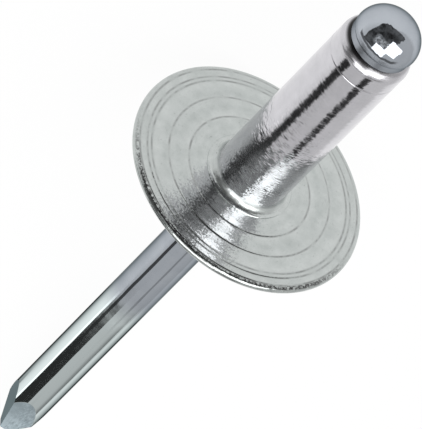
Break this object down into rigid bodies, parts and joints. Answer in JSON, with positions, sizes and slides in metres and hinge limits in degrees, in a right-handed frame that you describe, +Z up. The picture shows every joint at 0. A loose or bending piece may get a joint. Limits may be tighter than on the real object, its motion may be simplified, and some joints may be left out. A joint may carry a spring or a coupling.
{
  "type": "blind rivet",
  "caption": "Large-flange blind rivet: a hollow aluminium body with a wide ringed flange on a domed steel mandrel with a break notch and a pinched point.",
  "frame": {"origin": "on the surface that the rivet lies on, under the middle of its box", "axes": "+X along the rivet towards its domed head, +Z up from the surface, +Y across the flange; the rivet's own axis lies in the XZ plane and rises towards the head"},
  "size_m": [0.0488, 0.016, 0.0156],
  "materials": {
    "body_metal": "bright drawn aluminium, lightly brushed round the tube and ringed on the flange",
    "mandrel_metal": "bright zinc-plated steel, drawn along the shank"
  },
  "bodies": {
    "root": {"rivet_body": "body_metal", "mandrel": "mandrel_metal"}
  },
  "joints": []
}
